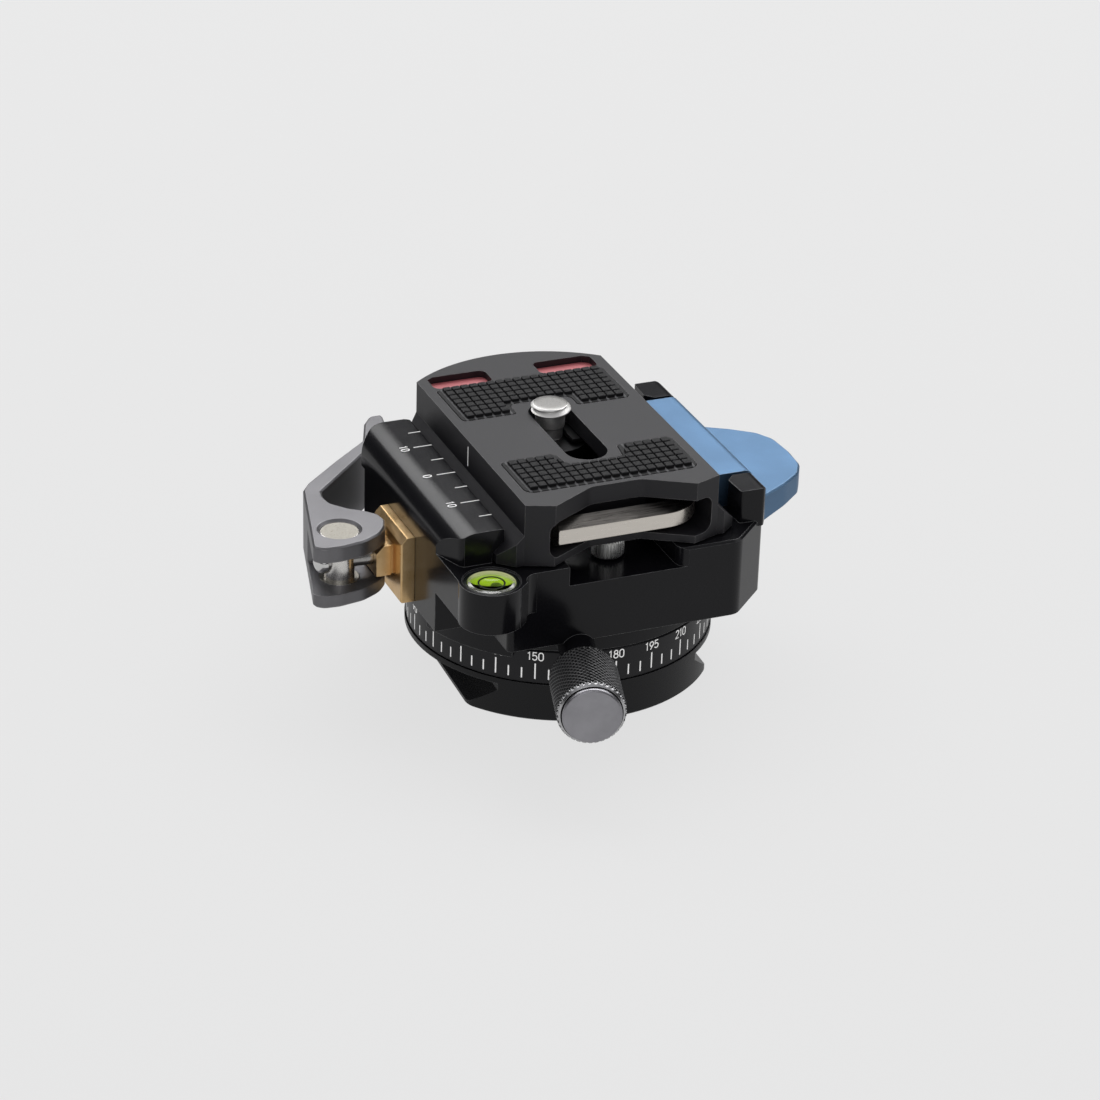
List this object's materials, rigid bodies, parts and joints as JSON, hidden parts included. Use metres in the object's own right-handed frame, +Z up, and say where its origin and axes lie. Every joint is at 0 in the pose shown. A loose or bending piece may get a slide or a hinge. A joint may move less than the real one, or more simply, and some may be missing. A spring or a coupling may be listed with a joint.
{
  "type": "panning tripod clamp head",
  "caption": "Low panning base with a lever-closed dovetail clamp, bubble level, pan lock knob and a quick-release camera plate with rubber pads and a captive camera screw.",
  "frame": {"origin": "on the pan axis, at the mouth of the tripod thread in the underside of the base", "axes": "+Z up towards the camera, -Y the front with the level and the pan lock knob, -X the lever side, +X the rocking jaw"},
  "size_m": [0.0799, 0.0811, 0.0395],
  "materials": {
    "black_anodised": "fine satin black anodising",
    "titanium_anodised": "satin titanium-grey anodising",
    "blue_anodised": "satin blue anodising",
    "plain_aluminium": "satin, clear anodised",
    "stainless": "turned and polished",
    "black_steel": "blackened",
    "chrome": "polished",
    "nickel": "satin nickel plate",
    "brass": "machined, slightly aged",
    "nylon": "smooth",
    "clear_acrylic": "clear, polished",
    "green_fluid": "clear tinted liquid",
    "black_rubber": "moulded block pattern",
    "red_plastic": "matt coral red"
  },
  "bodies": {
    "base": {"dovetail_base": "black_anodised", "tripod_thread_bush": "stainless", "scale_ring": "black_anodised", "ring_screws": "black_steel", "panning_hub": "plain_aluminium", "base_screws": "stainless"},
    "clamp": {"clamp_body": "black_anodised", "retaining_ring": "plain_aluminium", "retaining_screws": "stainless", "lower_friction_washer": "nylon", "upper_friction_washer": "nylon", "level_vial": "clear_acrylic", "level_fluid": "green_fluid", "brass_cam_block": "brass", "jaw_hinge_pin": "stainless"},
    "lock_shoe": {"pan_lock_shoe": "brass"},
    "lock_knob": {"pan_lock_knob": "black_anodised", "pan_knob_cap": "plain_aluminium"},
    "draw_bar": {"draw_bar": "stainless", "lever_barrel_pin": "stainless", "draw_bar_dome_nut": "chrome", "draw_bar_slotted_nut": "stainless", "jaw_disc_springs": "black_steel"},
    "lever": {"clamp_lever": "titanium_anodised"},
    "rocking_jaw": {"rocking_jaw": "blue_anodised"},
    "plate": {"camera_plate": "black_anodised", "rear_rubber_pad": "black_rubber", "front_rubber_pad": "black_rubber", "red_insert_left": "red_plastic", "red_insert_right": "red_plastic", "key_magnet": "nickel", "stop_screw_front": "stainless", "stop_screw_rear": "stainless"},
    "screw_carrier": {"screw_retaining_clip": "stainless"},
    "camera_screw": {"camera_screw": "stainless"},
    "hex_key": {"hex_key": "nickel"}
  },
  "joints": [
    {"name": "pan", "type": "hinge", "parent": "base", "child": "clamp", "pos_m": [0, 0, 0.014], "axis": [0, 0, 1], "continuous": true},
    {"name": "knob_turn", "type": "hinge", "parent": "lock_shoe", "child": "lock_knob", "pos_m": [-0.009, -0.03078, 0.01345], "axis": [-0.2807, -0.9598, 0], "range_deg": [0, 360]},
    {"name": "lock_shoe_slide", "type": "slide", "parent": "clamp", "child": "lock_shoe", "axis": [-0.2807, -0.9598, 0], "range_m": [0, 0.0005]},
    {"name": "draw_bar_slide", "type": "slide", "parent": "clamp", "child": "draw_bar", "axis": [1, 0, 0], "range_m": [0, 0.0016]},
    {"name": "lever_swing", "type": "hinge", "parent": "draw_bar", "child": "lever", "pos_m": [-0.036, 0, 0.0214], "axis": [0, 0, 1], "range_deg": [0, 100]},
    {"name": "jaw_rock", "type": "hinge", "parent": "clamp", "child": "rocking_jaw", "pos_m": [0.0216, 0, 0.0174], "axis": [0, 1, 0], "range_deg": [0, 14]},
    {"name": "plate_slide", "type": "slide", "parent": "clamp", "child": "plate", "axis": [0, 1, 0], "range_m": [-0.01, 0.01]},
    {"name": "screw_slide", "type": "slide", "parent": "plate", "child": "screw_carrier", "axis": [0, 1, 0], "range_m": [-0.0139, 0]},
    {"name": "screw_spin", "type": "hinge", "parent": "screw_carrier", "child": "camera_screw", "pos_m": [0, 0.0054, 0.036], "axis": [0, 0, 1], "continuous": true},
    {"name": "key_pull", "type": "slide", "parent": "plate", "child": "hex_key", "axis": [0, -1, 0], "range_m": [0, 0.02]}
  ],
  "couplings": [
    {"joint": "knob_turn", "follows": "lock_shoe_slide", "rad_per_m": 12566},
    {"joint": "draw_bar_slide", "follows": "lever_swing", "m_per_rad": 0.00091673},
    {"joint": "jaw_rock", "follows": "lever_swing", "ratio": 0.14}
  ]
}
